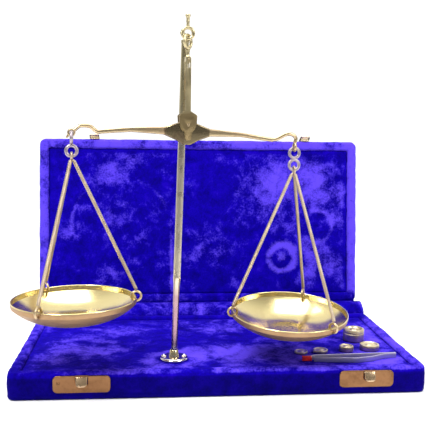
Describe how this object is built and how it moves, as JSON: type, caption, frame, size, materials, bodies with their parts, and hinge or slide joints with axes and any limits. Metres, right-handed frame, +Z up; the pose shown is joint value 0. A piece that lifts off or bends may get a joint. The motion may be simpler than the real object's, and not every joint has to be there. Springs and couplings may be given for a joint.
{
  "type": "equal arm hand balance",
  "caption": "Brass equal arm balance hung from a pillar in its open velvet covered case, with chained pans, weights and tweezers.",
  "frame": {"origin": "middle of the flat underside of the case's base tray, on the table", "axes": "+X along the case to the right seen from the front, +Y to the hinge side, +Z up"},
  "size_m": [0.2069, 0.1662, 0.1827],
  "materials": {
    "velvet": "crushed velvet, deep ultramarine",
    "velvet_lining": "crushed velvet over a thin padding",
    "wood": "plain softwood under the velvet",
    "pan_brass": "polished sheet brass",
    "beam_brass": "polished cast brass",
    "stirrup_brass": "brass gone dull and olive",
    "pillar_brass": "pale brass rod",
    "chain_brass": "fine woven brass chain",
    "catch_brass": "stamped sheet brass gone brown",
    "weight_brass": "turned brass",
    "hinge_steel": "plain steel",
    "tweezer_steel": "polished steel",
    "red_sleeve": "red sleeve"
  },
  "bodies": {
    "case": {"base_board": "wood", "base_rim": "wood", "base_cover": "velvet", "base_bed": "velvet_lining", "hinge_dowel": "wood", "hinge_roll": "velvet", "hinge_pins": "hinge_steel", "catch_plate_left": "catch_brass", "catch_plate_right": "catch_brass", "catch_nail": "catch_brass", "foot_plate": "pillar_brass", "foot_screws": "pillar_brass", "foot_socket": "pillar_brass"},
    "lid": {"lid_board": "wood", "lid_rim": "wood", "lid_cover": "velvet", "lid_pad": "velvet_lining", "lid_hinge_leaf_left": "hinge_steel", "lid_hinge_leaf_right": "hinge_steel", "lid_hinge_screws": "hinge_steel", "keeper_left": "catch_brass", "keeper_right": "catch_brass", "keeper_nails": "catch_brass"},
    "catch_button_left": {"catch_button_left": "catch_brass"},
    "catch_button_right": {"catch_button_right": "catch_brass"},
    "pillar": {"pillar_rod": "pillar_brass", "pillar_hook": "pillar_brass"},
    "stirrup": {"stirrup_top": "stirrup_brass", "stirrup_front_plate": "stirrup_brass", "stirrup_back_plate": "stirrup_brass", "stirrup_rivet": "stirrup_brass"},
    "beam": {"beam": "beam_brass", "knife_pin": "beam_brass", "pointer": "beam_brass"},
    "s_hook_left": {"s_hook_left": "beam_brass"},
    "s_hook_right": {"s_hook_right": "beam_brass"},
    "pan_left": {"chain_ring_left": "beam_brass", "chain_left_1": "chain_brass", "chain_left_2": "chain_brass", "chain_left_3": "chain_brass", "rim_hooks_left": "beam_brass", "pan_left": "pan_brass"},
    "pan_right": {"chain_ring_right": "beam_brass", "chain_right_1": "chain_brass", "chain_right_2": "chain_brass", "chain_right_3": "chain_brass", "rim_hooks_right": "beam_brass", "pan_right": "pan_brass"},
    "weight_large": {"weight_large": "weight_brass"},
    "weight_medium": {"weight_medium": "weight_brass"},
    "weight_small": {"weight_small": "weight_brass"},
    "weight_thin": {"weight_thin": "weight_brass"},
    "weight_least": {"weight_least": "weight_brass"},
    "tweezers": {"tweezer_rear_blade": "tweezer_steel", "tweezer_rivet": "tweezer_steel", "tweezer_tip": "red_sleeve"},
    "tweezers_front": {"tweezer_front_blade": "tweezer_steel"}
  },
  "joints": [
    {"name": "lid_hinge", "type": "hinge", "parent": "case", "child": "lid", "pos_m": [0, 0.0616, 0.0094], "axis": [1, 0, 0], "range_deg": [-30, 35]},
    {"name": "catch_press_left", "type": "slide", "parent": "case", "child": "catch_button_left", "axis": [0, 1, 0], "range_m": [0, 0.001], "stiffness_N_per_m": 400},
    {"name": "catch_press_right", "type": "slide", "parent": "case", "child": "catch_button_right", "axis": [0, 1, 0], "range_m": [0, 0.001], "stiffness_N_per_m": 400},
    {"name": "pillar_swivel", "type": "hinge", "parent": "case", "child": "pillar", "pos_m": [-0.0225, -0.0305, 0.0137], "axis": [0.0284, 0, 0.9996], "range_deg": [-12, 12]},
    {"name": "stirrup_swing", "type": "hinge", "parent": "pillar", "child": "stirrup", "pos_m": [-0.0171, -0.038, 0.1713], "axis": [0.9936, 0.1132, 0], "range_deg": [-8, 2.5]},
    {"name": "beam_tilt", "type": "hinge", "parent": "stirrup", "child": "beam", "pos_m": [-0.0171, -0.038, 0.1307], "axis": [-0.1132, 0.9936, 0], "range_deg": [-7, 3]},
    {"name": "hook_swing_left", "type": "hinge", "parent": "beam", "child": "s_hook_left", "pos_m": [-0.07153, -0.0442, 0.12641], "axis": [-0.1132, 0.9936, 0], "range_deg": [-6, 6]},
    {"name": "pan_swing_left", "type": "hinge", "parent": "s_hook_left", "child": "pan_left", "pos_m": [-0.07153, -0.0442, 0.11541], "axis": [0.9936, 0.1132, 0], "range_deg": [-6, 6]},
    {"name": "hook_swing_right", "type": "hinge", "parent": "beam", "child": "s_hook_right", "pos_m": [0.03683, -0.03186, 0.1201], "axis": [-0.1132, 0.9936, 0], "range_deg": [-6, 6]},
    {"name": "pan_swing_right", "type": "hinge", "parent": "s_hook_right", "child": "pan_right", "pos_m": [0.03683, -0.03186, 0.1091], "axis": [0.9936, 0.1132, 0], "range_deg": [-6, 6]},
    {"name": "weight_large_lift", "type": "slide", "parent": "case", "child": "weight_large", "axis": [0, 0, 1], "range_m": [0, 0.003]},
    {"name": "weight_medium_lift", "type": "slide", "parent": "case", "child": "weight_medium", "axis": [0, 0, 1], "range_m": [0, 0.003]},
    {"name": "weight_small_lift", "type": "slide", "parent": "case", "child": "weight_small", "axis": [0, 0, 1], "range_m": [0, 0.003]},
    {"name": "weight_thin_lift", "type": "slide", "parent": "case", "child": "weight_thin", "axis": [0, 0, 1], "range_m": [0, 0.003]},
    {"name": "weight_least_lift", "type": "slide", "parent": "case", "child": "weight_least", "axis": [0, 0, 1], "range_m": [0, 0.003]},
    {"name": "tweezers_lift", "type": "slide", "parent": "case", "child": "tweezers", "axis": [0, 0, 1], "range_m": [0, 0.003]},
    {"name": "tweezers_squeeze", "type": "hinge", "parent": "tweezers", "child": "tweezers_front", "pos_m": [0.0919, -0.0336, 0.0134], "axis": [0, 0, -1], "range_deg": [0, 1], "stiffness_Nm_per_rad": 0.02}
  ]
}
